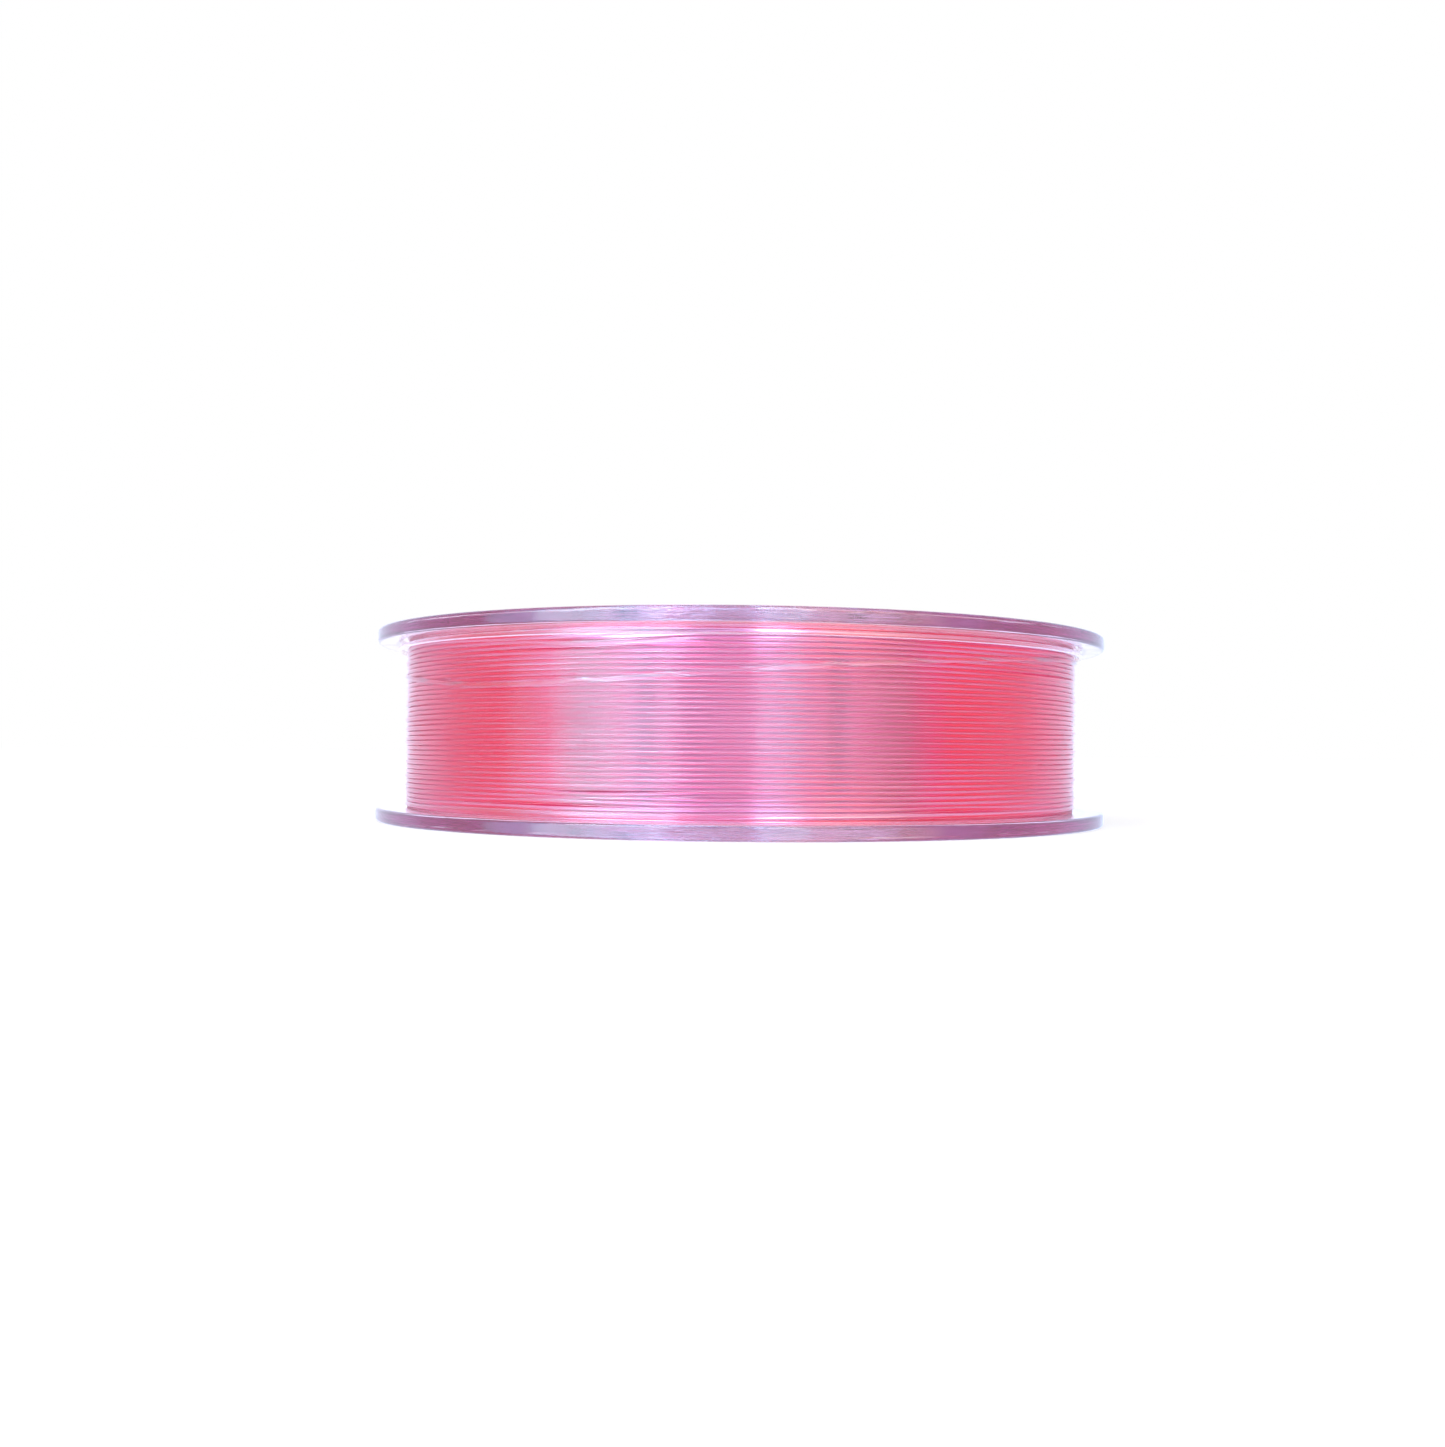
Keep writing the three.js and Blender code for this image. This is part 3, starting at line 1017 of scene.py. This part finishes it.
# Weak softboxes: name, degrees left of the camera, width in metres, power in watts
SOFTBOXES = (
    ("left_softbox", 42.0, 0.36, 1.5),
    ("right_softbox", -12.5, 0.13, 0.6),
)
SOFTBOX_DISTANCE = 0.5
SOFTBOX_HEIGHT = 0.3
SOFTBOX_RISE = 0.42
FALLING_LIGHT = 0.65  # strength of the room's light on matt surfaces
FLOOR_LIFT = 0.45  # light that the camera alone sees on the floor
FLOOR_SIZE = 2.0
FLOOR_SEGMENTS = 8
MOST_BOUNCES = 64  # light crosses many walls of line and plastic on its way through the spool
MOST_CLEAR_CROSSINGS = 32


def panel_light(tree, direction, in_gloss):
    """White, and the light of the panels on top of it in the directions where they stand."""
    flat = add_node(
        tree,
        "ShaderNodeVectorMath",
        settings={"operation": "MULTIPLY"},
        values={1: (1, 1, 0)},
        links={0: direction},
    )
    heading = add_node(
        tree,
        "ShaderNodeVectorMath",
        settings={"operation": "NORMALIZE"},
        links={0: flat.outputs["Vector"]},
    )
    white = add_node(tree, "ShaderNodeRGB").outputs[0]
    white.default_value = (1, 1, 1, 1)
    light = white
    for left, reach, blur, added in PANELS:
        turn = math.radians(left)
        facing = add_node(
            tree,
            "ShaderNodeVectorMath",
            settings={"operation": "DOT_PRODUCT"},
            values={1: (-math.sin(turn), -math.cos(turn), 0)},
            links={0: heading.outputs["Vector"]},
        )
        glow = add_node(
            tree,
            "ShaderNodeMapRange",
            settings={"interpolation_type": "SMOOTHSTEP"},
            values={
                "From Min": math.cos(math.radians(reach + blur)),
                "From Max": math.cos(math.radians(reach - blur)),
            },
            links={"Value": facing.outputs["Value"]},
        )
        shown = add_node(
            tree,
            "ShaderNodeMath",
            settings={"operation": "MULTIPLY"},
            links={0: glow.outputs["Result"], 1: in_gloss},
        )
        light = add_node(
            tree,
            "ShaderNodeVectorMath",
            settings={"operation": "MULTIPLY_ADD"},
            values={1: added},
            links={0: shown.outputs[0], 2: light},
        ).outputs["Vector"]
    return light


def white_room(name):
    """A white room that gloss sees with its panels, and that lights matt surfaces more softly."""
    world = bpy.data.worlds.new(name)
    world.use_nodes = True
    tree = world.node_tree
    tree.nodes.clear()
    rays = add_node(tree, "ShaderNodeLightPath").outputs
    direction = add_node(tree, "ShaderNodeTexCoord").outputs["Generated"]
    seen = add_node(
        tree,
        "ShaderNodeMath",
        settings={"operation": "MAXIMUM"},
        links={0: rays["Is Camera Ray"], 1: sent_on(tree, rays)},
    )
    level = add_node(
        tree,
        "ShaderNodeMapRange",
        values={"To Min": FALLING_LIGHT, "To Max": 1.0},
        links={"Value": seen.outputs[0]},
    )
    tone = panel_light(tree, direction, rays["Is Glossy Ray"])
    room = add_node(
        tree, "ShaderNodeBackground", links={"Color": tone, "Strength": level.outputs["Result"]}
    )
    add_node(tree, "ShaderNodeOutputWorld", links={"Surface": room.outputs["Background"]})
    return world


class SPOOL_OT_stage(bpy.types.Operator):
    """Lay the pale floor, and light the spool with a white room, light panels and softboxes"""

    bl_idname = "spool.stage"
    bl_label = "Floor and light"

    def execute(self, context):
        scene = context.scene
        bm = bmesh.new()
        bmesh.ops.create_grid(
            bm, x_segments=FLOOR_SEGMENTS, y_segments=FLOOR_SEGMENTS, size=FLOOR_SIZE
        )
        bmesh.ops.translate(bm, verts=bm.verts, vec=(0, 0, -HAIR))
        mesh = mesh_of(bm)
        mesh.materials.append(matt_table("matt_table", scene.spool_colours.floor))
        floor = bpy.data.objects.new("floor", mesh)
        scene.collection.objects.link(floor)
        scene.world = white_room("white_room")
        for name, left, width, power in SOFTBOXES:
            lamp = bpy.data.lights.new(name, "AREA")
            lamp.shape = "RECTANGLE"
            lamp.size = width
            lamp.size_y = SOFTBOX_HEIGHT
            lamp.energy = power
            side = math.radians(left)
            towards = Vector((-math.sin(side), -math.cos(side), 0))
            stand = bpy.data.objects.new(name, lamp)
            scene.collection.objects.link(stand)
            stand.location = towards * SOFTBOX_DISTANCE + Vector((0, 0, SOFTBOX_RISE))
            stand.rotation_euler = (-towards).to_track_quat("-Z", "Y").to_euler()
        scene.view_settings.view_transform = "Standard"
        scene.cycles.max_bounces = MOST_BOUNCES
        scene.cycles.transmission_bounces = MOST_BOUNCES
        scene.cycles.glossy_bounces = MOST_BOUNCES
        scene.cycles.transparent_max_bounces = MOST_CLEAR_CROSSINGS
        return {"FINISHED"}


# ------------------------------------------------------------------ panel and run
OPERATORS = (
    SPOOL_OT_camera,
    SPOOL_OT_stage,
    SPOOL_OT_flanges,
    SPOOL_OT_drum,
    SPOOL_OT_tape,
    SPOOL_OT_under_layers,
    SPOOL_OT_outer_layer,
)


class SPOOL_PT_panel(bpy.types.Panel):
    """Builds the spool piece by piece"""

    bl_idname = "SPOOL_PT_panel"
    bl_label = "Line spool"
    bl_space_type = "VIEW_3D"
    bl_region_type = "UI"
    bl_category = "Line spool"

    def draw(self, context):
        scene = context.scene
        for group in (scene.spool_plastic, scene.spool_line, scene.spool_colours):
            box = self.layout.box()
            for name in group.__annotations__:
                box.prop(group, name)
        for operator in OPERATORS:
            self.layout.operator(operator.bl_idname)


CLASSES = (SpoolPlasticSizes, SpoolLineSizes, SpoolColours, *OPERATORS, SPOOL_PT_panel)


def register():
    for cls in CLASSES:
        bpy.utils.register_class(cls)
    bpy.types.Scene.spool_plastic = PointerProperty(type=SpoolPlasticSizes)
    bpy.types.Scene.spool_line = PointerProperty(type=SpoolLineSizes)
    bpy.types.Scene.spool_colours = PointerProperty(type=SpoolColours)


def unregister():
    del bpy.types.Scene.spool_plastic
    del bpy.types.Scene.spool_line
    del bpy.types.Scene.spool_colours
    for cls in reversed(CLASSES):
        bpy.utils.unregister_class(cls)


def main():
    register()
    for operator in OPERATORS:
        group, name = operator.bl_idname.split(".")
        getattr(getattr(bpy.ops, group), name)()


if __name__ == "__main__":
    main()
